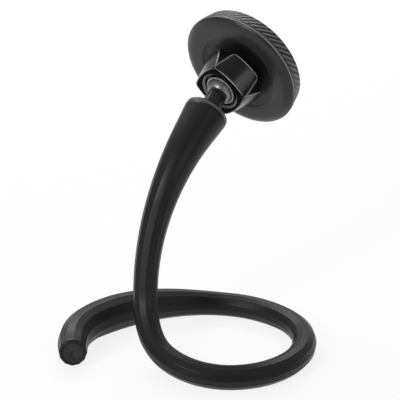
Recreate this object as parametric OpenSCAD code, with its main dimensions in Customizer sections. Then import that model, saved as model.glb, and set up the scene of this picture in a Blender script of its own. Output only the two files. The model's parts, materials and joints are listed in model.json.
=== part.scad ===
// Magnetic phone holder.
// A bendable arm is wound into one loop that stands on the table. Its tail passes behind the
// rising stretch, which leans back and widens to a round end. There a ball on a short neck
// carries a round magnetic head, held by a hand nut with four wide faces.
// X runs to the right and Y to the back of the loop, Z is up from the table.

/* [Arm section] */
// Width across the corners of the slim part of the arm
arm_d = 11.3; // [10:0.1:12.5]
// Width across the corners at the thickest place of the tail
tail_d = 17.2; // [15:0.1:19]
// Width across the corners at the end of the tail, ahead of its bevel
tail_end_d = 13; // [12.6:0.1:15]
// Diameter of the round cap in the end of the tail
tail_cap_d = 9.6; // [8.6:0.1:10]
// Diameter of the round end that carries the head
head_end_d = 21.4; // [20:0.1:24]
// Length of the bevel at the end of the tail
tail_bevel_l = 1.4; // [0.8:0.1:2]
// Wall that the sleeve leaves round the cap at the tail's face
tail_lip = 0.8; // [0.6:0.1:1.2]
// Distance from the tail's face to its thickest place
swell_l = 38; // [30:1:45]
// Length over which the tail slims down again
slim_l = 62; // [50:1:75]
// Length over which the arm widens to its head end
flare_l = 95; // [70:1:110]
// Length over which the flats fade into the round end
fade_l = 45; // [30:1:60]
// Plain round length left at the head end
round_l = 18; // [10:1:25]
// Turn of the section from a corner straight down, in degrees
arm_roll = 6; // [0:1:15]

/* [Arm stretches] */
// Length of the straight tip of the tail
tip_l = 8; // [7.6:0.1:10]
// Length of the curl behind the tip
curl_l = 22; // [18:1:26]
// Length of the tail from the curl to the crossing
tail_l = 30; // [26:1:34]
// Length of the left half of the loop's back
back_left_l = 35; // [31:1:39]
// Length of the right half of the loop's back
back_right_l = 35; // [31:1:39]
// Length of the loop's right side
side_l = 35; // [31:1:39]
// Length of the right half of the loop's front
front_right_l = 40; // [36:1:44]
// Length of the left half of the loop's front
front_left_l = 35; // [31:1:39]
// Length of the stretch that lifts off the table
lift_l = 35; // [31:1:39]
// Length of the steep stretch
rise_l = 40; // [35:1:45]
// Length of the stretch that leans over
lean_l = 38; // [33:1:43]
// Length of the straight end at the head
end_l = 12.4; // [11.5:0.1:14]

/* [Inside the arm] */
// Width across the corners of the bendable rod
core_d = 6.4; // [5.4:0.1:6.8]
// Clearance between the rod and the sleeve
core_gap = 0.15; // [0.1:0.05:0.2]
// Thickness of the tail cap
tail_cap_t = 2; // [1.5:0.1:2.4]
// Wall that closes the tail ferrule
ferrule_floor = 1.5; // [1:0.1:2]
// Width across the corners of the head ferrule
head_ferrule_d = 14; // [12:0.1:15]
// Depth of the rod's socket in the head ferrule
core_socket_l = 4.5; // [3:0.1:5]

/* [Ball joint] */
// Thickness of the collar
collar_t = 2.4; // [1.8:0.1:3]
// Width of the collar's chamfer
collar_chamfer = 0.7; // [0.4:0.1:1]
// How much narrower the collar is than the arm's end
collar_step = 0.3; // [0.2:0.1:1]
// Diameter of the ball
ball_d = 13; // [12.4:0.1:13.4]
// Diameter of the flat where the neck meets the ball
ball_flat_d = 11.2; // [10.4:0.1:11.8]
// Diameter of the neck at the collar
neck_d = 8.6; // [8:0.1:9.2]
// Diameter of the neck at the ball
neck_top_d = 7.6; // [7:0.1:8.6]
// Distance from the arm's end to the ball's centre
ball_reach = 16; // [14:0.1:20]
// Diameter of the stud's shank
shank_d = 6; // [5:0.1:7]
// Length of the stud's shank
shank_l = 6; // [4:0.1:6.2]
// Running clearance of the shank, the neck and the seat, on the radius
run_gap = 0.05; // [0.02:0.01:0.08]
// Clearance round the ball
ball_gap = 0.1; // [0.06:0.01:0.15]
// Outer diameter of the ball seat
seat_d = 14.6; // [14.4:0.1:14.9]
// Wall of the seat behind the ball
seat_floor = 1.9; // [1.2:0.1:2.5]
// How far the fingers reach round the ball from its centre
finger_reach = 2.6; // [2:0.1:2.8]
// Outer diameter of the fingers at their tips
finger_tip_d = 14.6; // [14.4:0.1:15.4]
// Outer diameter of the fingers at their root
finger_root_d = 17; // [16.8:0.1:17.4]
// Number of slots between the fingers
finger_slots = 4; // [4:1:8]
// Width of each slot
slot_w = 0.5; // [0.4:0.1:1]

/* [Hand nut] */
// Width across the wide faces at the mouth
nut_mouth_w = 22.8; // [22:0.1:24]
// Width across the wide faces at the back
nut_back_w = 30.6; // [28:0.1:32]
// Width across the corners at the mouth
nut_corner_w = 28.9; // [27.6:0.1:30]
// Width across the cut corners at the back
nut_back_corner_w = 31.5; // [30.4:0.1:33]
// Radius of the bulge of each wide face
nut_face_r = 42; // [34:1:60]
// Length of the nut
nut_l = 11.9; // [11:0.1:12.4]
// How far the nut's mouth stands ahead of the ball's centre
nut_mouth_z = 1.2; // [0.8:0.1:1.6]
// Thickness of the lip at the mouth
nut_lip_t = 2.2; // [1.8:0.1:2.4]
// Diameter of the hole in the lip
nut_hole_d = 17.8; // [17.4:0.1:18.4]
// Depth of the bevel round that hole
nut_bevel = 1; // [0.6:0.1:1.4]
// Diameter over the tips of the cut corners at the back
nut_tip_d = 32.4; // [31.6:0.1:33.4]
// Thread diameter of the nut
thread_d = 19.2; // [18.8:0.1:19.6]
// Length of the pressure ring
ring_l = 3.2; // [2.6:0.1:3.4]
// Turn of the nut about the head's axis, in degrees
nut_turn = 46; // [0:1:90]

/* [Head] */
// Largest diameter of the head
head_d = 61; // [58:0.1:64]
// How much the head's radius shrinks from its seam to its front edge
front_taper = 1.7; // [1:0.1:2.4]
// Distance from the ball's centre to the bottom of the recess round the boss
recess_z = 14.3; // [13.4:0.1:15]
// Diameter of the recess round the boss
recess_d = 40; // [36:0.1:42]
// Depth of that recess
recess_depth = 0.4; // [0.3:0.1:0.8]
// Diameter of the second, inner recess
inner_recess_d = 31; // [29:0.1:34]
// Depth of the inner recess
inner_recess_depth = 0.3; // [0.2:0.1:0.5]
// Width of the rounding at the rear edge
edge_w = 5.3; // [4:0.1:6]
// Depth of the rounding at the rear edge
edge_h = 3.4; // [3:0.1:3.6]
// Wall of the rear shell
shell_wall = 1.7; // [1.4:0.1:2]
// Height of the textured band
band_h = 6.4; // [6:0.1:7.6]
// Thickness of the textured band
band_t = 0.9; // [0.7:0.1:1.1]
// Wall of the front shell inside the band, at the front edge
front_wall = 1.3; // [1:0.1:1.8]
// Height of the front edge beyond the band
front_edge_h = 0.3; // [0.2:0.1:0.5]
// Thickness of the front plate
front_plate_t = 1.8; // [1.6:0.1:2.2]
// Thickness of the soft front pad
pad_t = 1; // [0.8:0.1:1.4]
// Width of the front edge left round the soft pad
pad_border = 1.9; // [1.2:0.1:3]
// Clearance between parts that are assembled and don't move
seat_gap = 0.1; // [0.05:0.05:0.15]

/* [Magnets] */
// Radial width of the magnet tray
tray_w = 3.9; // [3.6:0.1:4.4]
// Height of the magnet tray
tray_h = 2.6; // [2.4:0.1:2.8]
// Radial width of each magnet
magnet_w = 2.7; // [2.4:0.1:2.9]
// Thickness of each magnet
magnet_t = 2; // [1.6:0.1:2.1]
// Number of magnets
magnet_count = 18; // [12:1:20]
// Angle that each magnet leaves free, in degrees
magnet_gap_deg = 4; // [3:0.5:6]
// Thickness of the steel plate behind the magnets
plate_t = 0.6; // [0.4:0.1:0.8]

/* [Screws] */
// Number of screws
screw_count = 3; // [3:1:4]
// Diameter of the circle of screws
screw_circle_d = 32; // [30:0.1:34]
// Diameter of a screw's shank
screw_d = 1.8; // [1.6:0.1:2]
// Diameter of a screw's head
screw_head_d = 3.8; // [3.4:0.1:4]
// Height of a screw's head
screw_head_h = 0.8; // [0.6:0.1:0.9]
// Length of a screw under its head
screw_l = 5.6; // [4.5:0.1:6]
// Diameter of a screw boss
boss_d = 5.2; // [5:0.1:6]

/* [Hidden] */

black = [0.06, 0.06, 0.065];
satin_black = [0.1, 0.1, 0.105];
gunmetal = [0.28, 0.28, 0.3];
steel = [0.62, 0.63, 0.65];
round_fn = 96;
small_fn = 32;

// The bends of the arm from the tail to the head: length, turn to the left and climb, in degrees
bends = [
    [tip_l, 0, 0],
    [curl_l, -45, 0],
    [tail_l, -17, 0],
    [back_left_l, -32, 0],
    [back_right_l, -42, 0],
    [side_l, -62, 0],
    [front_right_l, -65, 0],
    [front_left_l, -54, 10],
    [lift_l, -42, 54],
    [rise_l, -37, -3],
    [lean_l, 6, -30],
    [end_l, 0, 0]
];
// Direction in which the arm sets out from the tail's face, from +X towards +Y
tail_heading = 87;
// Direction and climb of the head's axis, from the ball to the phone side
head_heading = 52.7;
head_climb = 19.8;

function part_sum(table, column, count) =
    count <= 0 ? 0 : table[count - 1][column] + part_sum(table, column, count - 1);
function sorted(v) =
    len(v) == 0 ? [] :
    let (pivot = v[floor(len(v) / 2)])
    concat(sorted([for (x = v) if (x < pivot) x]), [pivot], sorted([for (x = v) if (x > pivot) x]));

arm_l = part_sum(bends, 0, len(bends));
heading_table = [for (k = [0:len(bends)])
    [part_sum(bends, 0, k), tail_heading + part_sum(bends, 1, k)]];
climb_table = [for (k = [0:len(bends)]) [part_sum(bends, 0, k), part_sum(bends, 2, k)]];

// Radius of the arm at a distance s from the tail's face
function smooth(t) = t <= 0 ? 0 : t >= 1 ? 1 : t * t * (3 - 2 * t);
function tail_r(s) =
    s < swell_l
        ? tail_end_d / 2 + (tail_d - tail_end_d) / 2 * sin(90 * s / swell_l)
        : arm_d / 2 + (tail_d - arm_d) / 2 * (1 - smooth((s - swell_l) / slim_l));
function flare_r(s) =
    (head_end_d - arm_d) / 2 * pow(max(0, (s - arm_l + flare_l) / flare_l), 2);
function bevel_cut(s) =
    (tail_end_d / 2 - tail_cap_d / 2 - tail_lip) * max(0, 1 - s / tail_bevel_l);
function arm_r(s) = tail_r(s) + flare_r(s) - bevel_cut(s);
function roundness(s) = smooth((s - arm_l + fade_l + round_l) / fade_l);

// Direction of the arm: the bends, and the slope that keeps the thick tail's underside on the table
function rest_climb(s) = let (t = max(s, tip_l)) atan(tail_r(t + 0.5) - tail_r(t - 0.5));
function heading(s) = lookup(s, heading_table);
function climb(s) = lookup(s, climb_table) + rest_climb(s);
function direction(s) =
    [cos(heading(s)) * cos(climb(s)), sin(heading(s)) * cos(climb(s)), sin(climb(s))];

// Stations along the arm: evenly in each bend, and where the bore changes
ring_step = 0.4 * arm_d;
bore_step = 0.3 * core_d;
stations = sorted(concat(
    [for (b = [0:len(bends) - 1], n = [ceil(bends[b][0] / ring_step)], k = [0:n - 1])
        part_sum(bends, 0, b) + bends[b][0] * k / n],
    [tail_bevel_l, tip_l + bore_step, arm_l - end_l - bore_step, arm_l]));

// Route of the centreline, by adding up short straight steps from station to station
function walk(i, p) =
    i == len(stations) - 1 ? [p] :
    let (step = stations[i + 1] - stations[i])
    concat([p], walk(i + 1, p + step * direction(stations[i] + step / 2)));
route = walk(0, [0, 0, tail_r(0) * cos(climb(0))]);

// Turn that keeps the section from twisting where the arm climbs and turns together
function twist(i) =
    i == 0 ? 0 :
    let (a = stations[i - 1], b = stations[i])
    twist(i - 1) - sin(climb((a + b) / 2)) * (heading(b) - heading(a));
rolls = [for (i = [0:len(stations) - 1]) arm_roll + twist(i)];

// Two directions across the arm at a station: downwards and sideways
function down(s) =
    [sin(climb(s)) * cos(heading(s)), sin(climb(s)) * sin(heading(s)), -cos(climb(s))];
function aside(s) = [-sin(heading(s)), cos(heading(s)), 0];
function across(i, r, a) = let (s = stations[i])
    route[i] + r * (down(s) * cos(a + rolls[i]) + aside(s) * sin(a + rolls[i]));

arm_flats = 12;
outer_n = 2 * arm_flats;
rod_n = 8;
flat_share = cos(180 / arm_flats);
// Radius at a point of the section: corners and the middles of the flats take turns
function section_r(s, j) =
    arm_r(s) * (j % 2 == 0 ? 1 : flat_share + (1 - flat_share) * roundness(s));

// The bore of the sleeve: wide for the ferrules at both ends, slim for the rod
rod_flat = cos(180 / rod_n);
tail_bore_r = (tail_cap_d / 2 + seat_gap) / rod_flat;
core_bore_r = core_d / 2 + core_gap;
head_bore_r = head_ferrule_d / 2 + seat_gap;
function bore_r(s) = lookup(s, [
    [0, tail_bore_r],
    [tip_l, tail_bore_r],
    [tip_l + bore_step, core_bore_r],
    [arm_l - end_l - bore_step, core_bore_r],
    [arm_l - end_l, head_bore_r],
    [arm_l, head_bore_r]
]);

// Heights in the head, from the ball's centre towards the phone side
rear_z = recess_z - recess_depth;
seam_z = rear_z + edge_h;
cavity_z = recess_z + shell_wall;
band_z = seam_z + seat_gap;
front_z = band_z + band_h + front_edge_h;
plate_z = front_z - front_edge_h - front_plate_t;
front_r = head_d / 2 - front_taper;
pad_r = front_r - pad_border;
cavity_r = front_r - band_t - front_wall;
tray_r = cavity_r - seat_gap;
ball_r = ball_d / 2;
socket_r = ball_r + ball_gap;
seat_r = seat_d / 2;
finger_root_z = nut_lip_t - nut_mouth_z + seat_gap + ring_l + seat_gap;
seat_start_z = nut_lip_t - nut_mouth_z;
seat_end_z = socket_r + seat_floor;
shank_bore_r = shank_d / 2 + run_gap;
ball_flat_z = ball_reach - sqrt(pow(ball_r, 2) - pow(ball_flat_d / 2, 2));

// Where the arm ends and the ball sits, and the middle of the part's footprint
last = len(stations) - 1;
end_heading = heading(arm_l);
end_climb = climb(arm_l);
ball_c = route[last] + ball_reach * direction(arm_l);
head_axis = [cos(head_heading) * cos(head_climb), sin(head_heading) * cos(head_climb), sin(head_climb)];
left_edge = min([for (i = [0:last]) route[i][0] - arm_r(stations[i])]);
right_edge = max([for (i = [0:last]) route[i][0] + arm_r(stations[i])]);
front_edge = min([for (i = [0:last]) route[i][1] - arm_r(stations[i])]);
back_edge = ball_c[1] + front_z * head_axis[1] + front_r * sqrt(1 - pow(head_axis[1], 2));
centre = [(left_edge + right_edge) / 2, (front_edge + back_edge) / 2, 0];

module in_part_frame() {
    translate(-centre) children();
}

// Frame of the tail's face, looking along the arm
module at_tail() {
    in_part_frame() translate(route[0]) rotate([0, 90 - climb(0), heading(0)])
        rotate([0, 0, rolls[0]]) children();
}

// Frame of the arm's head end, looking along the stud
module at_arm_end() {
    in_part_frame() translate(route[last]) rotate([0, 90 - end_climb, end_heading])
        rotate([0, 0, rolls[last]]) children();
}

// Frame of the head: the ball's centre, looking towards the phone side
module at_head() {
    in_part_frame() translate(ball_c) rotate([0, 90 - head_climb, head_heading]) children();
}

module around(count) {
    for (k = [0:count - 1]) rotate([0, 0, 360 * k / count]) children();
}

// The sleeve: a twelve-sided tube swept along the route, with a bore right through
module arm_sleeve() {
    per = outer_n + rod_n;
    ratio = outer_n / rod_n;
    points = [for (i = [0:last]) for (j = [0:per - 1])
        j < outer_n
            ? across(i, section_r(stations[i], j), 360 * j / outer_n)
            : across(i, bore_r(stations[i]), 360 * (j - outer_n) / rod_n)];
    outer_faces = [for (i = [0:last - 1], j = [0:outer_n - 1])
        let (a = i * per + j, b = i * per + (j + 1) % outer_n, c = a + per, d = b + per)
        each [[a, c, b], [b, c, d]]];
    bore_faces = [for (i = [0:last - 1], j = [0:rod_n - 1])
        let (a = i * per + outer_n + j, b = i * per + outer_n + (j + 1) % rod_n, c = a + per, d = b + per)
        each [[a, b, c], [b, d, c]]];
    end_faces = [for (k = [0:rod_n - 1], e = [0, 1])
        let (o = e * last * per,
            p = o + outer_n + k, q = o + outer_n + (k + 1) % rod_n,
            a = o + ratio * k, b = a + 1, c = a + 2, d = o + (ratio * k + 3) % outer_n,
            fan = [[p, a, b], [p, b, c], [p, c, q], [q, c, d]])
        each [for (f = fan) e == 0 ? f : [f[0], f[2], f[1]]]];
    color(black) in_part_frame()
        polyhedron(points, concat(outer_faces, bore_faces, end_faces), convexity = 10);
}

// The bendable rod, from the tail ferrule to the head ferrule
core_from = tail_cap_t + ferrule_floor + seat_gap;
core_to = arm_l - end_l + core_socket_l - seat_gap;
core_stations = concat([core_from],
    [for (s = stations) if (s > core_from + 0.5 && s < core_to - 0.5) s], [core_to]);
function nearest(s, i = 0) = stations[i + 1] >= s ? i : nearest(s, i + 1);
function core_point(s, a) = let (
    i = nearest(s),
    t = (s - stations[i]) / (stations[i + 1] - stations[i]))
    across(i, core_d / 2, a) * (1 - t) + across(i + 1, core_d / 2, a) * t;

module arm_core() {
    n = len(core_stations);
    points = [for (s = core_stations, j = [0:rod_n - 1]) core_point(s, 360 * j / rod_n)];
    side_faces = [for (i = [0:n - 2], j = [0:rod_n - 1])
        let (a = i * rod_n + j, b = i * rod_n + (j + 1) % rod_n, c = a + rod_n, d = b + rod_n)
        each [[a, c, b], [b, c, d]]];
    first_face = [for (j = [0:rod_n - 1]) j];
    last_face = [for (j = [rod_n - 1:-1:0]) (n - 1) * rod_n + j];
    color(steel) in_part_frame()
        polyhedron(points, concat(side_faces, [first_face], [last_face]), convexity = 10);
}

// Round cap that closes the tail
module tail_cap() {
    color(satin_black) at_tail() {
        cylinder(d = tail_cap_d, h = tail_cap_t, $fn = round_fn);
        translate([0, 0, -seat_gap])
            cylinder(d1 = tail_cap_d - 4 * seat_gap, d2 = tail_cap_d, h = seat_gap, $fn = round_fn);
    }
}

// Metal cup crimped on the rod's tail end
module tail_ferrule() {
    color(gunmetal) at_tail() translate([0, 0, tail_cap_t]) difference() {
        cylinder(d = tail_cap_d / rod_flat, h = tip_l - tail_cap_t, $fn = rod_n);
        translate([0, 0, ferrule_floor])
            cylinder(r = core_bore_r, h = tip_l, $fn = rod_n);
    }
}

// Metal insert that holds the rod on one side and the stud on the other
module head_ferrule() {
    color(gunmetal) at_arm_end() difference() {
        translate([0, 0, -end_l]) cylinder(d = head_ferrule_d, h = end_l, $fn = rod_n);
        translate([0, 0, -2 * end_l])
            cylinder(r = core_bore_r, h = end_l + core_socket_l, $fn = rod_n);
        translate([0, 0, -shank_l - seat_gap]) cylinder(r = shank_bore_r, h = end_l, $fn = round_fn);
    }
}

// Glossy collar on the round end, with the neck passing through it
module collar() {
    r = (head_end_d - collar_step) / 2;
    color(satin_black) at_arm_end() difference() {
        union() {
            cylinder(r = r, h = collar_t - collar_chamfer, $fn = round_fn);
            translate([0, 0, collar_t - collar_chamfer])
                cylinder(r1 = r, r2 = r - collar_chamfer, h = collar_chamfer, $fn = round_fn);
        }
        translate([0, 0, -collar_t])
            cylinder(r = neck_d / 2 + run_gap, h = 3 * collar_t, $fn = round_fn);
    }
}

// Shank, neck and ball in one turned piece; the ball is cut flat where the neck meets it
module ball_stud() {
    color(gunmetal) at_arm_end() {
        translate([0, 0, -shank_l]) cylinder(d = shank_d, h = shank_l + collar_t, $fn = round_fn);
        cylinder(d = neck_d, h = collar_t + run_gap, $fn = round_fn);
        translate([0, 0, collar_t])
            cylinder(d1 = neck_d, d2 = neck_top_d, h = ball_flat_z - collar_t, $fn = round_fn);
        translate([0, 0, ball_flat_z - run_gap])
            cylinder(d = neck_top_d, h = ball_reach - ball_flat_z, $fn = round_fn);
        intersection() {
            translate([0, 0, ball_reach]) sphere(r = ball_r, $fn = round_fn);
            translate([0, 0, ball_flat_z]) cylinder(r = ball_d, h = ball_d + ball_reach, $fn = round_fn);
        }
    }
}

// Friction cup between the ball and the head
module ball_seat() {
    color(satin_black) at_head() difference() {
        translate([0, 0, seat_start_z + seat_gap])
            cylinder(r = seat_r - run_gap, h = seat_end_z - seat_start_z - 2 * seat_gap, $fn = round_fn);
        sphere(r = socket_r, $fn = round_fn);
    }
}

// Rear half of the head, with the slotted fingers that grip the ball and the nut's thread
module rear_shell() {
    r = head_d / 2;
    flat_r = r - edge_w;
    rib_r = tray_r - tray_w / 2;
    dish = concat(
        [[0, recess_z + inner_recess_depth],
            [inner_recess_d / 2 - inner_recess_depth, recess_z + inner_recess_depth],
            [inner_recess_d / 2, recess_z],
            [recess_d / 2 - recess_depth, recess_z], [recess_d / 2, rear_z]],
        [for (a = [0:10:90]) [flat_r + edge_w * sin(a), seam_z - edge_h * cos(a)]],
        [[r - shell_wall, seam_z], [r - shell_wall, seam_z - shell_wall / 2],
            [r - 2 * shell_wall, cavity_z], [0, cavity_z]]);
    color(satin_black) at_head() {
        difference() {
            union() {
                rotate_extrude($fn = round_fn) polygon(dish);
                translate([0, 0, finger_root_z])
                    cylinder(d = thread_d, h = recess_z - finger_root_z + shell_wall / 2, $fn = round_fn);
                translate([0, 0, -finger_reach])
                    cylinder(d1 = finger_tip_d, d2 = finger_root_d, h = finger_reach + finger_root_z,
                        $fn = round_fn);
            }
            sphere(r = socket_r, $fn = round_fn);
            translate([0, 0, seat_start_z]) cylinder(r = seat_r, h = seat_end_z - seat_start_z, $fn = round_fn);
            around(finger_slots) translate([0, -slot_w / 2, -2 * finger_reach])
                cube([thread_d, slot_w, 2 * finger_reach + finger_root_z - seat_gap]);
        }
        translate([0, 0, cavity_z - seat_gap]) difference() {
            cylinder(r = rib_r + shell_wall / 2, h = plate_z - tray_h - plate_t - cavity_z, $fn = round_fn);
            translate([0, 0, -shell_wall])
                cylinder(r = rib_r - shell_wall / 2, h = front_z, $fn = round_fn);
        }
        around(screw_count) translate([screw_circle_d / 2, 0, cavity_z - seat_gap]) difference() {
            cylinder(d = boss_d, h = plate_z - cavity_z, $fn = small_fn);
            translate([0, 0, shell_wall / 2])
                cylinder(d = screw_d + run_gap, h = front_z, $fn = small_fn);
        }
    }
}

// Ring that the nut presses on the cone of the fingers
module pressure_ring() {
    z0 = nut_lip_t - nut_mouth_z + seat_gap;
    slope = (finger_root_d - finger_tip_d) / 2 / (finger_reach + finger_root_z);
    r0 = finger_tip_d / 2 + slope * (finger_reach + z0) + 1.5 * seat_gap;
    color(satin_black) at_head() translate([0, 0, z0]) difference() {
        cylinder(r = thread_d / 2 - run_gap, h = ring_l, $fn = round_fn);
        translate([0, 0, -ring_l])
            cylinder(r1 = r0 - slope * ring_l, r2 = r0 + 2 * slope * ring_l, h = 3 * ring_l, $fn = round_fn);
    }
}

// Hand nut: four bulged wide faces that lean outwards, with the corners cut by flats that
// start as a point at the mouth and widen towards the head
module clamp_nut() {
    face_lean = atan((nut_back_w - nut_mouth_w) / 2 / nut_l);
    corner_lean = atan((nut_back_corner_w - nut_corner_w) / 2 / nut_l);
    big = 2 * nut_back_w;
    color(black) at_head() rotate([0, 0, nut_turn]) translate([0, 0, -nut_mouth_z]) difference() {
        intersection() {
            cylinder(d = nut_tip_d, h = nut_l, $fn = round_fn);
            intersection_for (k = [0:3]) rotate([0, 0, 90 * k])
                translate([nut_mouth_w / 2, 0, 0]) rotate([0, face_lean, 0])
                    translate([-nut_face_r, 0, -big]) cylinder(r = nut_face_r, h = 2 * big, $fn = round_fn);
        }
        rotate([0, 0, 45]) around(4) translate([nut_corner_w / 2, 0, 0]) rotate([0, corner_lean, 0])
            translate([0, -big / 2, -big / 2]) cube(big);
        translate([0, 0, nut_lip_t]) cylinder(r = thread_d / 2 + run_gap, h = nut_l, $fn = round_fn);
        translate([0, 0, -nut_l]) cylinder(d = nut_hole_d, h = 2 * nut_l, $fn = round_fn);
        translate([0, 0, -nut_bevel])
            cylinder(d1 = nut_hole_d + 4 * nut_bevel, d2 = nut_hole_d, h = 2 * nut_bevel, $fn = round_fn);
    }
}

// Radius under the textured band at a height z, with the band's own outside at band_t more
function band_r(z) = head_d / 2 - front_taper * (z - band_z) / (front_z - band_z);

// Front half of the head: side wall, front plate and the rim round the pad
module front_shell() {
    spigot_r = head_d / 2 - shell_wall - seat_gap;
    shell_profile = [
        [cavity_r, band_z - shell_wall / 3],
        [spigot_r, band_z - shell_wall / 3],
        [spigot_r, band_z],
        [band_r(band_z) - band_t, band_z],
        [band_r(front_z - front_edge_h) - band_t, front_z - front_edge_h],
        [band_r(front_z - front_edge_h), front_z - front_edge_h],
        [front_r - front_edge_h / 2, front_z],
        [pad_r + seat_gap, front_z],
        [pad_r + seat_gap, plate_z + front_plate_t - seat_gap],
        [0, plate_z + front_plate_t - seat_gap],
        [0, plate_z],
        [cavity_r, plate_z]
    ];
    color(satin_black) at_head() difference() {
        rotate_extrude($fn = round_fn) polygon(shell_profile);
        around(screw_count) translate([screw_circle_d / 2, 0, 0]) {
            translate([0, 0, plate_z - shell_wall])
                cylinder(d = screw_d + 4 * seat_gap, h = front_z, $fn = small_fn);
            translate([0, 0, front_z - front_edge_h - seat_gap - screw_head_h - seat_gap])
                cylinder(d = screw_head_d + 2 * seat_gap, h = front_z, $fn = small_fn);
        }
    }
}

// Textured band round the front half
module rim_band() {
    z1 = front_z - front_edge_h;
    color(satin_black) at_head() rotate_extrude($fn = round_fn) polygon([
        [band_r(band_z) - band_t + run_gap, band_z + run_gap],
        [band_r(band_z), band_z + run_gap],
        [band_r(z1), z1 - run_gap],
        [band_r(z1) - band_t + run_gap, z1 - run_gap]
    ]);
}

// Plastic ring with a pocket for each magnet
module magnet_tray() {
    pitch = 360 / magnet_count;
    color(satin_black) at_head() translate([0, 0, plate_z - tray_h]) difference() {
        rotate_extrude($fn = round_fn)
            translate([tray_r - tray_w, 0]) square([tray_w, tray_h - run_gap]);
        around(magnet_count) magnet_block(pitch - magnet_gap_deg + 1, magnet_w + 2 * seat_gap, -1);
    }
}

module magnet_block(angle, width, z0) {
    mid_r = tray_r - tray_w / 2;
    rotate([0, 0, -angle / 2]) rotate_extrude(angle = angle, $fn = round_fn)
        translate([mid_r - width / 2, z0]) square([width, magnet_t - z0]);
}

// Magnets round the head, all alike
module magnets() {
    pitch = 360 / magnet_count;
    color(steel) at_head() translate([0, 0, plate_z - tray_h])
        around(magnet_count) magnet_block(pitch - magnet_gap_deg, magnet_w, run_gap);
}

// Thin steel ring behind the magnets
module shield_plate() {
    color(steel) at_head() translate([0, 0, plate_z - tray_h - plate_t]) rotate_extrude($fn = round_fn)
        translate([tray_r - tray_w, 0]) square([tray_w, plate_t - run_gap]);
}

// Screws that hold the two halves of the head together, with a cross recess
module shell_screws() {
    head_z = front_z - front_edge_h - seat_gap - screw_head_h - seat_gap / 2;
    recess_w = screw_head_d / 6;
    color(steel) at_head() around(screw_count) translate([screw_circle_d / 2, 0, head_z]) {
        difference() {
            cylinder(d = screw_head_d, h = screw_head_h - seat_gap / 2, $fn = small_fn);
            for (a = [0, 90]) rotate([0, 0, a])
                translate([-screw_d * 0.6, -recess_w / 2, screw_head_h / 2])
                    cube([screw_d * 1.2, recess_w, screw_head_h]);
        }
        translate([0, 0, -screw_l]) cylinder(d = screw_d, h = screw_l, $fn = small_fn);
    }
}

// Soft pad on the phone side, with one shallow ring groove
module front_pad() {
    groove = 0.3 * pad_t;
    color([0.13, 0.13, 0.135]) at_head() translate([0, 0, front_z - front_edge_h - seat_gap + run_gap])
        difference() {
            cylinder(r = pad_r, h = pad_t, $fn = round_fn);
            translate([0, 0, pad_t - groove]) rotate_extrude($fn = round_fn)
                translate([tray_r - tray_w, 0]) square([2 * groove, pad_t]);
        }
}

arm_sleeve();
arm_core();
tail_cap();
tail_ferrule();
head_ferrule();
collar();
ball_stud();
ball_seat();
rear_shell();
pressure_ring();
clamp_nut();
front_shell();
rim_band();
magnet_tray();
magnets();
shield_plate();
shell_screws();
front_pad();
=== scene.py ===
"""Looks of the magnetic phone holder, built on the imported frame.

The arm's sleeve and its tail cap, the hand nut, the ball stud, the rear shell and the textured
band are drawn anew, finer than their CAD nodes. The other nodes stay and get better materials.
Named sizes are in millimetres and named angles in degrees. MM turns a size into metres.
"""

import json
import math

import bpy
import numpy as np
from mathutils import Matrix, Vector


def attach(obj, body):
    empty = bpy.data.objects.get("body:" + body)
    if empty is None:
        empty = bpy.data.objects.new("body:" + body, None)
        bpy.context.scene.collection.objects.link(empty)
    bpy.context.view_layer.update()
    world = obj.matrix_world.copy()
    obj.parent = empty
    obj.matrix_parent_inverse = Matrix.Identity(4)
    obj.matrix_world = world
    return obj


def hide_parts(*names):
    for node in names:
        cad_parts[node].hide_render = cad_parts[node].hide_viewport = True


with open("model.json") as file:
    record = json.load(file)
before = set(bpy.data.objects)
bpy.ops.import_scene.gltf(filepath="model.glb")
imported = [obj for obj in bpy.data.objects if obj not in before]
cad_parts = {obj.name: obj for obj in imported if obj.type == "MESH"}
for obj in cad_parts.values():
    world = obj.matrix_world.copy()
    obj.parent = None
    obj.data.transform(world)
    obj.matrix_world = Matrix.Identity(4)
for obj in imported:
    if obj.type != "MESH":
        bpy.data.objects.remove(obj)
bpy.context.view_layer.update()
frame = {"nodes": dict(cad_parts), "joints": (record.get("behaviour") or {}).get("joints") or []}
joints = {j["name"]: j for j in frame["joints"]}

MM = 0.001
AXIS_R = 0.02  # a turned piece ends this far from its axis, so that its end stays a ring

# The arm's route: length, turn to the left and climb of each bend, from the tail to the head
BENDS = [
    (8, 0, 0),
    (22, -45, 0),
    (30, -17, 0),
    (35, -32, 0),
    (35, -42, 0),
    (35, -62, 0),
    (40, -65, 0),
    (35, -54, 10),
    (35, -42, 54),
    (40, -37, -3),
    (38, 6, -30),
    (12.4, 0, 0),
]
ARM_L = sum(length for length, turn, climb in BENDS)
TAIL_HEADING = 87  # from the right toward the back
BALL_REACH = 16  # from the arm's head end to the ball's centre

# The tail's tip, over its last TIP_L
TIP_L = 9
TIP_REACH = 4  # longer by this much than the CAD's
TIP_SLOPE = 0.28  # lifted by this slope at its end
TIP_TURN = 11  # and turned toward the right

# The arm's thickness
ARM_R = 11.3 / 2
TAIL_R = 17.2 / 2  # where the tail is thickest
TAIL_END_R = 13 / 2
HEAD_END_R = 21.4 / 2
SWELL_L = 38  # from the tail's end to where it is thickest
SLIM_L = 62  # from there to where the arm is thin
FLARE_L = 95  # over which the arm thickens to its head end

# The arm's section
FLATS = 12
ROLL = 6  # from straight down to a corner
CORNER_CUT = 0.998  # share of the radius at which the corners are cut
CORNER_SOFT = 0.001  # softness of that cut, as a share of the radius
FADE_L = 45  # over which the flats fade into a circle
ROUND_L = 18  # from there to the head end

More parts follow.
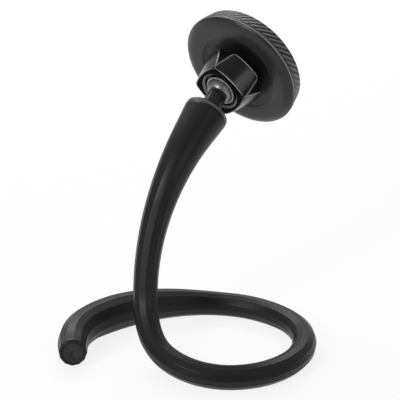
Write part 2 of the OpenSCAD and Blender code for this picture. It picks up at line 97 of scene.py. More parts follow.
# The tail's end and its cap
CAP_R = 9.6 / 2
CAP_HOLE_R = CAP_R + 0.1
CAP_HOLE_DEPTH = 1.5
CAP_DEPTH = 2
CAP_RISE = 0.1  # stands out of the tail by this much
TAIL_LIP = 0.8  # width of the tail's end face round the cap
BEVEL_L = 1.4  # length of the rounding from that face to the side


def smooth(t):
    """Ease in and out from 0 to 1 as t goes from 0 to 1."""
    t = np.clip(t, 0, 1)
    return t * t * (3 - 2 * t)


def tail_radius(s):
    """Radius of the arm at distances s from the tail's end, without its flare."""
    swell = TAIL_END_R + (TAIL_R - TAIL_END_R) * np.sin(np.pi / 2 * s / SWELL_L)
    slim = ARM_R + (TAIL_R - ARM_R) * (1 - smooth((s - SWELL_L) / SLIM_L))
    return np.where(s < SWELL_L, swell, slim)


def arm_radius(s):
    """Radius of the arm at distances s from the tail's end."""
    flare = (HEAD_END_R - ARM_R) * np.clip((s - ARM_L + FLARE_L) / FLARE_L, 0, 1) ** 2
    return tail_radius(s) + flare


def tip_share(s):
    """1 at the tail's end, falling to 0 where the tip begins."""
    return np.clip(1 - s / TIP_L, 0, 1)


def arm_angles(s):
    """Heading and climb of the arm in radians at distances s from the tail's end.

    The arm lies on the table, so its centre line also climbs as the tail's radius grows.
    """
    knots = np.cumsum([0] + [length for length, turn, climb in BENDS])
    turns = np.cumsum([0] + [turn for length, turn, climb in BENDS])
    climbs = np.cumsum([0] + [climb for length, turn, climb in BENDS])
    heading = np.interp(s, knots, TAIL_HEADING + turns) + TIP_TURN * tip_share(s)
    lying = np.maximum(s, BENDS[0][0])
    growth = tail_radius(lying + 0.5) - tail_radius(lying - 0.5)
    climb = np.radians(np.interp(s, knots, climbs)) + np.arctan(growth)
    return np.radians(heading), climb - np.arctan(TIP_SLOPE * tip_share(s))


def basis(heading, climb):
    """Down, aside and along for a direction given by its heading and climb."""
    down = [np.sin(climb) * np.cos(heading), np.sin(climb) * np.sin(heading), -np.cos(climb)]
    aside = [-np.sin(heading), np.cos(heading), 0 * heading]
    along = [np.cos(climb) * np.cos(heading), np.cos(climb) * np.sin(heading), np.sin(climb)]
    return np.stack(down, -1), np.stack(aside, -1), np.stack(along, -1)


def placed(origin, axes):
    """Matrix that puts a piece's X, Y and Z on three axes at an origin in metres."""
    return Matrix.Translation(Vector(origin)) @ Matrix(axes).transposed().to_4x4()


def axis_frame(joint):
    """Matrix that puts local Z on a joint's axis, the way the CAD places its head and its stud."""
    x, y, z = Vector(joint["axis"]).normalized()
    return placed(joint["pos_m"], basis(np.float64(math.atan2(y, x)), np.float64(math.asin(z))))


HEAD = axis_frame(joints["head_spin"])
STUD = axis_frame(joints["head_pan"])

# Mesh helpers
LATHE_N = 128


def new_object(name, verts, faces, uvs=None, mark=None):
    """Smooth mesh object. Its "mark" is a value at each point that its material reads."""
    mesh = bpy.data.meshes.new(name)
    mesh.from_pydata([tuple(v) for v in verts], [], faces)
    if uvs is not None:
        layer = mesh.uv_layers.new(name="uv")
        for loop in mesh.loops:
            layer.data[loop.index].uv = uvs[loop.vertex_index]
    if mark is not None:
        mesh.attributes.new("mark", "FLOAT", "POINT").data.foreach_set("value", mark)
    mesh.validate()
    obj = bpy.data.objects.new(name, mesh)
    bpy.context.scene.collection.objects.link(obj)
    for face in mesh.polygons:
        face.use_smooth = True
    return obj


def grid_faces(rows, cols, wrap_rows=False):
    """Quads of a grid of rows that close on themselves, each with cols points."""
    faces = []
    for i in range(rows if wrap_rows else rows - 1):
        low, high = i * cols, (i + 1) % rows * cols
        for j in range(cols):
            k = (j + 1) % cols
            faces.append((low + j, low + k, high + k, high + j))
    return faces


def polar(radius, angle, height):
    """Point in metres, from a radius and a height in millimetres and an angle in radians."""
    return Vector((radius * math.cos(angle) * MM, radius * math.sin(angle) * MM, height * MM))


def lathe(name, profile, place, n=LATHE_N):
    """Closed outline of points (radius, height), turned about the Z axis and marked with the radius."""
    verts = [place @ polar(radius, math.tau * i / n, height) for radius, height in profile for i in range(n)]
    radii = np.repeat([radius for radius, height in profile], n)
    return new_object(name, verts, grid_faces(len(profile), n, wrap_rows=True), mark=radii)


def dress(obj, *materials):
    """Give an object these materials in place of those that it has."""
    obj.data.materials.clear()
    for material in materials:
        obj.data.materials.append(material)


# Material helpers
def principled(name, color, rough, **inputs):
    """New material, its node tree and its shader, whose other inputs are named with underscores."""
    mat = bpy.data.materials.new(name)
    mat.use_nodes = True
    bsdf = mat.node_tree.nodes["Principled BSDF"]
    bsdf.inputs["Base Color"].default_value = (*color, 1)
    bsdf.inputs["Roughness"].default_value = rough
    for key, value in inputs.items():
        bsdf.inputs[key.replace("_", " ")].default_value = value
    return mat, mat.node_tree, bsdf


def add(tree, kind, **settings):
    """New node of a kind, with its settings."""
    node = tree.nodes.new(kind)
    for key, value in settings.items():
        setattr(node, key, value)
    return node


def math_node(tree, operation, *values):
    """Output of a math node whose inputs are numbers or other nodes' outputs."""
    node = add(tree, "ShaderNodeMath", operation=operation)
    for socket, value in zip(node.inputs, values):
        if isinstance(value, bpy.types.NodeSocket):
            tree.links.new(value, socket)
        else:
            socket.default_value = value
    return node.outputs[0]


def object_place(tree):
    """Place of the shaded point in its object's own space, in metres."""
    return add(tree, "ShaderNodeTexCoord").outputs["Object"]


def mark_value(tree):
    """Value that the mesh is marked with at the shaded point."""
    return add(tree, "ShaderNodeAttribute", attribute_name="mark").outputs["Fac"]


def noise(tree, source, scale, detail=2, dimensions="3D"):
    """Noise between 0 and 1 at a place, or at one value where it has one dimension."""
    node = add(tree, "ShaderNodeTexNoise", noise_dimensions=dimensions)
    node.inputs["Scale"].default_value = scale
    node.inputs["Detail"].default_value = detail
    tree.links.new(source, node.inputs["W" if dimensions == "1D" else "Vector"])
    return node.outputs["Fac"]


def color_ramp(tree, value, low, high):
    """Colour between two stops, each a value and its colour."""
    node = add(tree, "ShaderNodeValToRGB")
    for element, (position, color) in zip(node.color_ramp.elements, (low, high)):
        element.position = position
        element.color = (*color, 1)
    tree.links.new(value, node.inputs["Fac"])
    return node.outputs["Color"]


def bump(tree, height, depth, strength):
    """Normal of a relief whose height between 0 and 1 stands for a depth in millimetres."""
    node = add(tree, "ShaderNodeBump")
    node.inputs["Distance"].default_value = depth * MM
    node.inputs["Strength"].default_value = strength
    tree.links.new(height, node.inputs["Height"])
    return node.outputs["Normal"]


def grained(name, color, rough, grain, **inputs):
    """Material with one noise in its colour, roughness and relief.

    The grain is its scale per metre, its depth in millimetres, the share by which its colour
    varies and the amount by which its roughness varies.
    """
    scale, depth, color_spread, rough_spread = grain
    mat, tree, bsdf = principled(name, color, rough, **inputs)
    speckle = noise(tree, object_place(tree), scale, 4)
    dark = [c * (1 - color_spread) for c in color]
    light = [c * (1 + color_spread) for c in color]
    uneven = math_node(tree, "MULTIPLY_ADD", speckle, 2 * rough_spread, rough - rough_spread)
    tree.links.new(color_ramp(tree, speckle, (0.3, dark), (0.7, light)), bsdf.inputs["Base Color"])
    tree.links.new(uneven, bsdf.inputs["Roughness"])
    tree.links.new(bump(tree, speckle, depth, 0.5), bsdf.inputs["Normal"])
    return mat


# The arm's sleeve and the cap in its tail
SLEEVE = grained(
    "sleeve_rubber", (0.013, 0.013, 0.0135), 0.38, (2600, 0.02, 0.2, 0.04), Specular_IOR_Level=0.22
)
CAP = grained("cap_plastic", (0.022, 0.022, 0.023), 0.5, (1800, 0.03, 0.15, 0.06), Specular_IOR_Level=0.3)
RING_N = 192
RING_STEP = 1.3
BEVEL_RINGS = [0, 0.0001, 0.15, 0.4, 0.8, 1.1, BEVEL_L, BEVEL_L + 0.3]
HEAD_FACE_INSETS = (1.5, 4)  # rings of the head end's face, from its edge in under the collar


def ring_stations():
    """Distances of the sleeve's rings from the tail's end: close on the bevel, and even after it."""
    even = np.linspace(BEVEL_L + 1, ARM_L, int(ARM_L / RING_STEP))
    return np.unique(np.concatenate([BEVEL_RINGS, even]))


def arm_route(s):
    """Centre line, down, aside, along and roll of the arm at distances s."""
    mid_heading, mid_climb = arm_angles((s[1:] + s[:-1]) / 2)
    reach = s - TIP_REACH * tip_share(s)
    steps = basis(mid_heading, mid_climb)[2] * np.diff(reach)[:, None]
    centre = np.concatenate([[[0, 0, 0]], np.cumsum(steps, 0)])
    ball, axis = joints["head_pan"]["pos_m"], joints["head_pan"]["axis"]
    centre += np.array(Vector(ball) / MM - Vector(axis) * BALL_REACH) - centre[-1]
    heading, climb = arm_angles(s)
    twist = np.concatenate([[0], np.cumsum(-np.sin(mid_climb) * np.diff(heading))])
    return centre, *basis(heading, climb), math.radians(ROLL) + twist


def section(angle, radius, fade):
    """Radius of the twelve flats at each angle, which fade into a circle."""
    half = math.pi / FLATS
    off = (angle + half) % (2 * half) - half
    flats = math.cos(half) / np.cos(half - np.abs(off))
    cut = -CORNER_SOFT * np.logaddexp(-flats / CORNER_SOFT, -CORNER_CUT / CORNER_SOFT)
    return radius * (cut * (1 - fade) + fade)


def build_sleeve(s, route):
    """Sleeve from the hole for its cap, over the bevel and the flats, to its round head end."""
    centre, down, aside, along, roll = route
    around = np.arange(RING_N) * math.tau / RING_N

    def ring(i, radius, depth=0):
        angle = around + roll[i]
        spokes = np.cos(angle)[:, None] * down[i] + np.sin(angle)[:, None] * aside[i]
        return centre[i] + np.reshape(radius, (-1, 1)) * spokes + along[i] * depth

    in_bevel = (1 - s / BEVEL_L).clip(0)
    bevel = (TAIL_END_R - CAP_R - TAIL_LIP) * (1 - np.sqrt(1 - in_bevel**2))
    radius = arm_radius(s) - bevel
    fade = smooth((s - ARM_L + FADE_L + ROUND_L) / FADE_L)
    rings = [ring(0, CAP_HOLE_R, CAP_HOLE_DEPTH), ring(0, CAP_HOLE_R)]
    rings += [ring(i, section(around, radius[i], fade[i])) for i in range(len(s))]
    rings += [ring(-1, HEAD_END_R - inset) for inset in HEAD_FACE_INSETS]
    verts = np.concatenate(rings) * MM
    return new_object("sleeve_skin", verts, grid_faces(len(rings), RING_N))


def tail_frame(route):
    """Matrix that puts local Z along the arm at the tail's end."""
    centre, down, aside, along = route[:4]
    return placed(centre[0] * MM, (down[0], aside[0], along[0]))


def build_cap(place):
    """Plain disc with a soft edge that stands a little out of the tail."""
    profile = [
        (AXIS_R, CAP_DEPTH),
        (CAP_R, CAP_DEPTH),
        (CAP_R, 0.05),
        (CAP_R - 0.03, 0),
        (CAP_R - 0.18, 0.02 - CAP_RISE),
        (CAP_R - 0.25, -CAP_RISE),
        (CAP_R - 0.4, -CAP_RISE),
        (AXIS_R, -CAP_RISE),
    ]
    return lathe("cap_skin", profile, place)


stations = ring_stations()
route = arm_route(stations)
sleeve = build_sleeve(stations, route)
dress(sleeve, SLEEVE)
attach(sleeve, "arm")
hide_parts("arm_sleeve")

cap = build_cap(tail_frame(route))
dress(cap, CAP)
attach(cap, "arm")
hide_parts("tail_cap")

# The hand nut. Heights are measured from its mouth, which is at NUT_Z over the ball's centre.
NUT_Z = -1.2
NUT_L = 11.9
NUT_TURN = 46
NUT_MOUTH_W = 23.6  # across the wide faces, at the mouth
NUT_BACK_W = 31  # and at the back
NUT_CORNER_W = 28.9  # across the cut corners, at the mouth
NUT_BACK_CORNER_W = 31.5  # and at the back
NUT_FACE_R = 30  # the wide faces are curved to this radius
NUT_TIP_R = 32.4 / 2  # nothing stands out further than this
NUT_HOLE_R = 17.8 / 2
NUT_BORE_R = 19.2 / 2 + 0.05
NUT_LIP = 2.2  # thickness of the lip round the hole
NUT_BEVEL = 1  # height of the bevel from the hole to the mouth
NUT_BEVEL_W = 0.8
NUT_PLANE_START = 1  # the mouth's plane starts this far outside the hole
NUT_PLANE_END = 0.7  # and ends this far inside the outline
NUT_EDGE = 0.5  # rounding of the mouth's edge and of the side edges
NUT_BACK_EDGE = 1.3
NUT_BACK_RIM = 1  # flat rim round the bore, at the back
NUT_CREASE = 0.05  # a small step that keeps an edge sharp
NUT_N = 840
NUT_ROWS = 44
NUT_BEVEL_ROWS = 6
EDGE_STEP = 15  # between the rings of a rounded edge
MIN_COS = 0.1  # a direction with less than this cosine to a cut corner misses it
FAR_R = 99  # the corner's radius there, out of reach

# Glint, the nut's mark: 0 is plain gloss, 1 is painted light grey as a painted highlight and -1 is matt
EDGE_GLINT_W = 0.3
SIDE_GLINT = 0.42
BEVEL_GLINT = 0.5
MOUTH_GLINT = 0.6
MATT = -1


def soft_min(values, width):
    """Smallest of several radii, with the edges between them rounded over about that width."""
    k = width / 2
    low = np.min(values, axis=0)
    return low - k * np.log(sum(np.exp(-(v - low) / k) for v in values))


def nut_outline(angle, height):
    """Radius, painted glint and nearness to the middle of a wide face, at each angle and one height.

    The glint, a painted highlight, rises from 0 on a wide face to the value set for the side edges at its
    side edges. The cut corners are matt.
    """
    lean = math.atan((NUT_BACK_W - NUT_MOUTH_W) / 2 / NUT_L)
    cut_slope = (NUT_BACK_CORNER_W - NUT_CORNER_W) / 2 / NUT_L
    offset = NUT_FACE_R - NUT_MOUTH_W / 2 * math.cos(lean) - height * math.sin(lean)
    radii = []
    for side in range(4):
        turn = angle - side * math.pi / 2
        across = np.cos(turn) * math.cos(lean)
        square = across**2 + np.sin(turn) ** 2
        root = np.sqrt(np.maximum((across * offset) ** 2 - square * (offset**2 - NUT_FACE_R**2), 0))
        radii.append((-across * offset + root) / square)
        facing = np.cos(turn - math.pi / 4)
        corner = (NUT_CORNER_W / 2 + height * cut_slope) / np.maximum(facing, MIN_COS)
        radii.append(np.where(facing > MIN_COS, corner, FAR_R))
    low, second = np.sort(radii, axis=0)[:2]
    near_edge = np.exp(-(((second - low) / EDGE_GLINT_W) ** 2))
    wide = (np.argmin(radii, axis=0) % 2 == 0).astype(float)
    glint = SIDE_GLINT * near_edge + MATT * (1 - wide) * (1 - near_edge)
    radii.append(NUT_TIP_R + 0 * angle)
    off = (angle + math.pi / 4) % (math.pi / 2) - math.pi / 4
    return soft_min(radii, NUT_EDGE), glint, wide * np.cos(2 * off) ** 0.5


def nut_rings(angle):
    """Radius, height and painted glint of the rings from the bore over the mouth to the back."""
    rings = [
        (NUT_BORE_R, NUT_L, 0),
        (NUT_BORE_R, NUT_LIP, 0),
        (NUT_HOLE_R, NUT_LIP, 0),
        (NUT_HOLE_R, NUT_BEVEL + 3 * NUT_CREASE, 0),
    ]
    for k in range(NUT_BEVEL_ROWS + 1):
        t = k / NUT_BEVEL_ROWS
        height = NUT_BEVEL * (1 - t) + 0.4 * NUT_CREASE
        # The bevel round the hole is painted light: a painted highlight.
        rings.append((NUT_HOLE_R + NUT_CREASE + NUT_BEVEL_W * t, height, BEVEL_GLINT))
    rings.append((NUT_HOLE_R + NUT_PLANE_START, 0, MATT))
    rings.append((nut_outline(angle, 0)[0] - NUT_PLANE_END, 0, MATT))
    for degrees in range(0, 91, EDGE_STEP):
        t = math.radians(degrees)
        height = NUT_EDGE * (1 - math.cos(t))
        radius, glint, middle = nut_outline(angle, height)
        # Painted highlight on the rounded mouth edge, along the side edges and in the middle of each face.
        wear_and_glint = np.maximum(glint * math.sin(t), MOUTH_GLINT * middle * math.sin(2 * t))
        rings.append((radius - NUT_EDGE * (1 - math.sin(t)), height, wear_and_glint))
    for height in np.linspace(1.5 * NUT_EDGE, NUT_L - NUT_BACK_EDGE, NUT_ROWS):
        radius, glint, middle = nut_outline(angle, height)
        rings.append((radius, height, glint))
    for degrees in range(EDGE_STEP, 91, EDGE_STEP):
        t = math.radians(degrees)
        height = NUT_L - NUT_BACK_EDGE * (1 - math.sin(t))
        radius, glint, middle = nut_outline(angle, height)
        # Painted highlight along the middle of each wide face's back edge.
        rings.append((radius - NUT_BACK_EDGE * (1 - math.cos(t)), height, middle * math.sin(2 * t)))
    rings.append((NUT_BORE_R + NUT_BACK_RIM, NUT_L, 0))
    return rings


def build_nut():
    """Hand nut on the head's axis, with its painted glint as its mark."""
    angle = np.arange(NUT_N) * math.tau / NUT_N
    turned = angle + math.radians(NUT_TURN)
    rings = nut_rings(angle)
    verts, glint = [], []
    for radius, height, wear_and_glint in rings:
        verts += [HEAD @ polar(r, a, height + NUT_Z) for r, a in zip(radius + 0 * angle, turned)]
        glint += list(wear_and_glint + 0 * angle)
    return new_object("nut_skin", verts, grid_faces(len(rings), NUT_N, wrap_rows=True), mark=glint)


def nut_material():
    """Black gloss, painted lighter as a painted highlight where the glint is above 0, and matt where it is
    below.
    """
    mat, tree, bsdf = principled("nut_gloss", (0.005, 0.005, 0.005), 0.2)
    glint = mark_value(tree)
    speckle = noise(tree, object_place(tree), 500, 4)
    patchy = math_node(tree, "MULTIPLY_ADD", speckle, 0.5, 0.75)
    # The glint paints the colour light grey: a painted highlight.
    glint_level = math_node(tree, "MULTIPLY", glint, patchy)
    color = color_ramp(tree, glint_level, (0.2, (0.004, 0.004, 0.004)), (1, (0.8, 0.8, 0.8)))
    matt = math_node(tree, "MULTIPLY", math_node(tree, "MINIMUM", glint, 0), -1)
    rough = math_node(tree, "MULTIPLY_ADD", speckle, 0.06, 0.17)
    tree.links.new(color, bsdf.inputs["Base Color"])
    tree.links.new(math_node(tree, "MULTIPLY_ADD", matt, 0.4, rough), bsdf.inputs["Roughness"])
    tree.links.new(math_node(tree, "MULTIPLY_ADD", matt, -0.42, 0.45), bsdf.inputs["Specular IOR Level"])
    return mat


nut = build_nut()
dress(nut, nut_material())
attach(nut, "nut")
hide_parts("clamp_nut")

# The ball stud: its neck from the collar to the ball's flat, and the ball. Heights are over the
# ball's centre, away from the arm.
NECK = grained(
    "neck_gloss", (0.016, 0.016, 0.0165), 0.26, (900, 0.001, 0.1, 0.03), Specular_IOR_Level=0.25
)
BALL = grained("ball_metal", (0.25, 0.25, 0.255), 0.42, (1200, 0.002, 0.1, 0.05), Metallic=1.0)
NECK_R = 9.8 / 2
NECK_TOP_R = 9.2 / 2
NECK_ROWS = 8
GROOVE_L = 0.35  # a groove parts the neck from the ball's flat
GROOVE_DEPTH = 0.15
BALL_R = 13 / 2
BALL_FLAT_R = 11.2 / 2
BALL_ROWS = 32
COLLAR_T = 2.4
COLLAR_SINK = 0.5  # the neck starts this far inside the collar
FLAT_EDGE = 0.25  # rounding of the edge between the ball and its flat
FLAT_EDGE_L = 0.35
FLAT_EDGE_ROWS = 4
BALL_END = 0.02  # radians left open at the ball's far end, inside its seat


def build_stud():
    """Dark tapered neck, and a bright ball whose flat has a rounded edge."""
    flat_z = -math.sqrt(BALL_R**2 - BALL_FLAT_R**2)
    root_z = COLLAR_T - BALL_REACH
    profile = [(0.5, root_z - COLLAR_SINK), (NECK_R, root_z - COLLAR_SINK), (NECK_R, root_z + 0.05)]
    for k in range(NECK_ROWS + 1):
        t = k / NECK_ROWS
        height = root_z + 0.1 + (flat_z - 2 * GROOVE_L - root_z) * t
        profile.append((NECK_R + (NECK_TOP_R - NECK_R) * t, height))
    profile.append((NECK_TOP_R - GROOVE_DEPTH, flat_z - GROOVE_L))
    profile.append((NECK_TOP_R - GROOVE_DEPTH, flat_z + 0.02))
    neck_rows = len(profile) - 1
    profile += [(NECK_TOP_R + 0.1, flat_z), (BALL_FLAT_R - 2 * FLAT_EDGE, flat_z)]
    for k in range(1, FLAT_EDGE_ROWS + 1):
        t = k / FLAT_EDGE_ROWS
        profile.append((BALL_FLAT_R - 2 * FLAT_EDGE * (1 - t) ** 2, flat_z + FLAT_EDGE_L * t * t))
    edge_r, edge_z = profile[-1]
    start = math.atan2(edge_r, -edge_z)
    stop = math.pi - BALL_END
    for k in range(1, BALL_ROWS + 1):
        angle = start + (stop - start) * k / BALL_ROWS
        profile.append((BALL_R * math.sin(angle), -BALL_R * math.cos(angle)))
    obj = lathe("stud_skin", profile, STUD)
    dress(obj, BALL, NECK)
    for face in obj.data.polygons:
        face.material_index = 1 if face.index < neck_rows * LATHE_N else 0
    return obj


stud = build_stud()
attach(stud, "stud")
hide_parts("ball_stud")

# The head's rear shell. Heights are over the ball's centre, toward the phone.
# Light grey for the shell's bead and the fingers' tips: a painted highlight.
PAINTED_GLINT = grained("painted_edge_glint", (0.26, 0.26, 0.265), 0.3, (1500, 0.003, 0.25, 0.05), Specular_IOR_Level=0.6)
LIP = grained("lip_satin", (0.05, 0.05, 0.051), 0.34, (1500, 0.003, 0.15, 0.05), Specular_IOR_Level=0.3)
HEAD_R = 61 / 2
SHELL_WALL = 1.7
SEAM_Z = 17.3  # where the shell meets the front shell
REAR_Z = 13.9  # the shell's rear flat
EDGE_W = 5.3  # the rounding between the rear flat and the side
RECESS_R = 40 / 2
RECESS_Z = 14.3
INNER_RECESS_R = 31 / 2
INNER_RECESS_Z = 14.6
STEP_SOFT = 0.12  # rounding of the recesses' steps
BEAD_Z = 16.0  # the edge line, painted light grey as a painted highlight
BEAD_R = 0.25
LIP_Z = 17.75
LIP_INSET = 0.1
BOSS_R = 19.2 / 2
BOSS_Z = 4.4
SEAT_R = 14.6 / 2
SEAT_BACK_Z = 8.5
SEAT_FRONT_Z = 1.0
SOCKET_R = 6.6  # the fingers inside, round the ball
FINGER_TIP_Z = -0.9
FINGER_TIP_R = 7.6
FINGER_ROOT_R = 8.5
TIP_EDGE = 0.25  # the fingers' tips are rounded over this height
EDGE_ROWS = 24
BEAD_ROWS = 8
SHELL_N = 360


def shell_profile():
    """Outline of the shell and the rows where its finger tips, its bead and its lip begin."""
    profile = [
        (AXIS_R, SEAT_BACK_Z),
        (SEAT_R, SEAT_BACK_Z),
        (SEAT_R, SEAT_FRONT_Z),
        (SOCKET_R - 0.05, SEAT_FRONT_Z),
        (SOCKET_R, 0),
    ]
    tip_row = len(profile)
    profile += [
        (SOCKET_R - 0.03, FINGER_TIP_Z + TIP_EDGE),
        (SOCKET_R + 0.1, FINGER_TIP_Z + 0.07),
        (SOCKET_R + 0.3, FINGER_TIP_Z),
        (FINGER_TIP_R - 0.3, FINGER_TIP_Z),
        (FINGER_TIP_R - 0.1, FINGER_TIP_Z + 0.07),
        (FINGER_TIP_R, FINGER_TIP_Z + TIP_EDGE),
        (FINGER_ROOT_R, BOSS_Z),
        (BOSS_R, BOSS_Z),
        (BOSS_R, INNER_RECESS_Z - STEP_SOFT),
        (BOSS_R + STEP_SOFT, INNER_RECESS_Z),
    ]
    for radius, low, high in ((INNER_RECESS_R, INNER_RECESS_Z, RECESS_Z), (RECESS_R, RECESS_Z, REAR_Z)):
        profile += [(radius - 3 * STEP_SOFT, low), (radius - 2 * STEP_SOFT, low - STEP_SOFT / 3)]
        profile += [(radius - STEP_SOFT, high + STEP_SOFT / 3), (radius, high)]
    flat_r = HEAD_R - EDGE_W
    edge_h = SEAM_Z - REAR_Z
    profile.append(((RECESS_R + flat_r) / 2, REAR_Z))
    bead_turn = math.acos((SEAM_Z - BEAD_Z) / edge_h)
    for k in range(EDGE_ROWS + 1):
        angle = bead_turn * k / EDGE_ROWS
        profile.append((flat_r + EDGE_W * math.sin(angle), SEAM_Z - edge_h * math.cos(angle)))
    bead_row = len(profile)
    for k in range(BEAD_ROWS + 1):
        angle = math.pi * (k / BEAD_ROWS - 0.35)
        radius = HEAD_R - BEAD_R + BEAD_R * math.cos(angle)
        profile.append((radius, BEAD_Z + BEAD_R * (1 + math.sin(angle))))
    lip_row = len(profile)
    profile += [
        (HEAD_R - LIP_INSET, BEAD_Z + 2.5 * BEAD_R),
        (HEAD_R - LIP_INSET, LIP_Z - 0.15),
        (HEAD_R - 0.3, LIP_Z),
        (HEAD_R - 0.8, LIP_Z),
        (HEAD_R - 0.8, SEAM_Z),
        (HEAD_R - SHELL_WALL, SEAM_Z),
        (HEAD_R - 2 * SHELL_WALL, RECESS_Z + SHELL_WALL),
        (AXIS_R, RECESS_Z + SHELL_WALL),
    ]
    return profile, tip_row, bead_row, lip_row


def shell_material():
    """Satin black, with faint turned rings in the recess that follow the radius, and the recess round the
    nut painted darker as painted shade.
    """
    mat, tree, bsdf = principled("shell_satin", (0.024, 0.024, 0.025), 0.33, Specular_IOR_Level=0.32)
    radius = mark_value(tree)
    rings = noise(tree, radius, 1.1, 3, dimensions="1D")
    recess = math_node(tree, "LESS_THAN", radius, RECESS_R)
    spread = math_node(tree, "MULTIPLY_ADD", recess, 0.5, 0.06)
    shift = math_node(tree, "SUBTRACT", rings, 0.5)
    # The recess is painted darker: painted shade round the nut.
    level = math_node(tree, "MULTIPLY_ADD", recess, -0.16, 0.5)
    tone = math_node(tree, "MULTIPLY_ADD", shift, spread, level)
    color = color_ramp(tree, tone, (0.3, (0.003, 0.003, 0.0031)), (0.7, (0.041, 0.041, 0.042)))
    tree.links.new(color, bsdf.inputs["Base Color"])
    tree.links.new(math_node(tree, "MULTIPLY_ADD", shift, 0.2, 0.36), bsdf.inputs["Roughness"])
    return mat


def build_shell():
    """Dish with two stepped recesses, the boss under the nut's thread and the fingers' rim."""
    profile, tip_row, bead_row, lip_row = shell_profile()
    obj = lathe("shell_skin", profile, HEAD, SHELL_N)
    dress(obj, shell_material(), PAINTED_GLINT, LIP)
    # The fingers' tips and the bead are painted light grey as a painted highlight.
    glint_rows = {*range(tip_row, tip_row + 5), *range(bead_row, lip_row)}
    lip_rows = range(lip_row, lip_row + 3)
    for face in obj.data.polygons:
        row = face.index // SHELL_N
        if row in glint_rows:
            face.material_index = 1
        elif row in lip_rows:
            face.material_index = 2
    return obj


shell = build_shell()
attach(shell, "head")
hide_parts("rear_shell")

# The textured band round the head, from the groove over the shell's lip to the phone side
BAND_Z = LIP_Z + 0.1
BAND_H = 23.75 - BAND_Z
BAND_R = HEAD_R - 0.1
BAND_TOP_R = 28.9
BAND_T = 0.85
BAND_ROWS = 28
BAND_MARGIN = 0.01  # share of the height that its first and last relief row leave free
BAND_EDGE = 0.12  # its borders are rounded over about this height
BAND_LOW_SINK = 0.25  # and by this much
BAND_TOP_SINK = 0.2
THREAD = 3.5  # width of a thread along the band
THREAD_SLANT = 1.15
THREAD_DEPTH = 0.2
THREAD_SHAPE = 1.5  # above 1, a thread is wider than the groove beside it
THREAD_FADE = 8  # the relief fades over one part in this many of the height
THREAD_N = 16


def band_profile():
    """Radius, height and share of relief of the band's rows, from its inner side round to it."""
    profile = [(BAND_R - BAND_T, 0, 0), (BAND_R - 0.3, 0, 0)]
    for k in range(BAND_ROWS + 1):
        t = BAND_MARGIN + (1 - 2 * BAND_MARGIN) * k / BAND_ROWS
        low_edge = BAND_LOW_SINK * math.exp(-t * BAND_H / BAND_EDGE)
        high_edge = BAND_TOP_SINK * math.exp(-(1 - t) * BAND_H / BAND_EDGE)
        radius = BAND_R + (BAND_TOP_R - BAND_R) * t - (low_edge + high_edge)
        profile.append((radius, BAND_H * t, min(1, THREAD_FADE * t, THREAD_FADE * (1 - t))))
    return profile + [(BAND_TOP_R - 0.3, BAND_H, 0), (BAND_TOP_R - BAND_T, BAND_H, 0)]


def build_band():
    """Band with slanted threads that stand up from its surface and fade out at its borders."""
    threads = round(math.tau * BAND_R / THREAD)
    n = THREAD_N * threads
    cols = n + 1
    profile = band_profile()
    verts, uvs, faces = [], [], []
    for radius, height, relief in profile:
        across = THREAD_SLANT * height / THREAD
        for i in range(cols):
            along = threads * i / n
            wave = math.cos(math.tau * (along - across))
            depth = THREAD_DEPTH * relief * (0.5 - 0.5 * wave) ** THREAD_SHAPE
            verts.append(HEAD @ polar(radius - depth, math.tau * i / n, height + BAND_Z))
            uvs.append((along, across))
    for i in range(len(profile)):
        low, high = i * cols, (i + 1) % len(profile) * cols
        faces += [(low + j, low + j + 1, high + j + 1, high + j) for j in range(n)]
    return new_object("band_skin", verts, faces, uvs)


def weave_material():
    """Slanted twill. The UV map counts threads along the band and across it."""
    mat, tree, bsdf = principled("band_weave", (0.02, 0.02, 0.022), 0.4, Specular_IOR_Level=0.4)
    threads = add(tree, "ShaderNodeUVMap", uv_map="uv").outputs["UV"]
    split = add(tree, "ShaderNodeSeparateXYZ")
    tree.links.new(threads, split.inputs["Vector"])
    along, across = split.outputs["X"], split.outputs["Y"]
    slant = math_node(tree, "SUBTRACT", along, across)
    ridge = math_node(tree, "COSINE", math_node(tree, "MULTIPLY", slant, math.tau))
    strand = math_node(tree, "ADD", along, math_node(tree, "MULTIPLY", across, 1.5))
    cross = math_node(tree, "SINE", math_node(tree, "MULTIPLY", strand, 3 * math.tau))
    wear_and_glint = math_node(tree, "MULTIPLY_ADD", noise(tree, threads, 1.6, 3), 0.5, -0.25)
    # The thread tops are light and the grooves dark: the twill's own pattern, with painted shade in the
    # grooves and a painted highlight on the tops.
    ridges = math_node(tree, "MULTIPLY_ADD", ridge, 0.4, 0.5)
    height = math_node(tree, "MULTIPLY_ADD", cross, 0.12, ridges)
    tone = math_node(tree, "ADD", height, wear_and_glint)
    color = color_ramp(tree, tone, (0.4, (0.001, 0.001, 0.001)), (0.85, (0.17, 0.17, 0.175)))
    tree.links.new(color, bsdf.inputs["Base Color"])
    tree.links.new(bump(tree, cross, 0.1, 0.6), bsdf.inputs["Normal"])
    return mat


band = build_band()
dress(band, weave_material())
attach(band, "head")
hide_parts("rim_band")

# The CAD nodes that stay
INNER = grained("inner_plastic", (0.008, 0.008, 0.008), 0.3, (1500, 0.02, 0.12, 0.05))
PAD = grained("pad_rubber", (0.014, 0.014, 0.0145), 0.6, (2600, 0.04, 0.15, 0.05))
STEEL = grained("plain_steel", (0.55, 0.55, 0.56), 0.35, (1200, 0.01, 0.08, 0.05), Metallic=1.0)
DARK_METAL = grained("black_metal", (0.12, 0.12, 0.12), 0.4, (1200, 0.01, 0.08, 0.05), Metallic=1.0)
COLLAR_SIDE = 0.06  # cosine to the neck's axis up to which the collar looks like its side
COLLAR_FACE = 0.3  # and from which it looks like its face


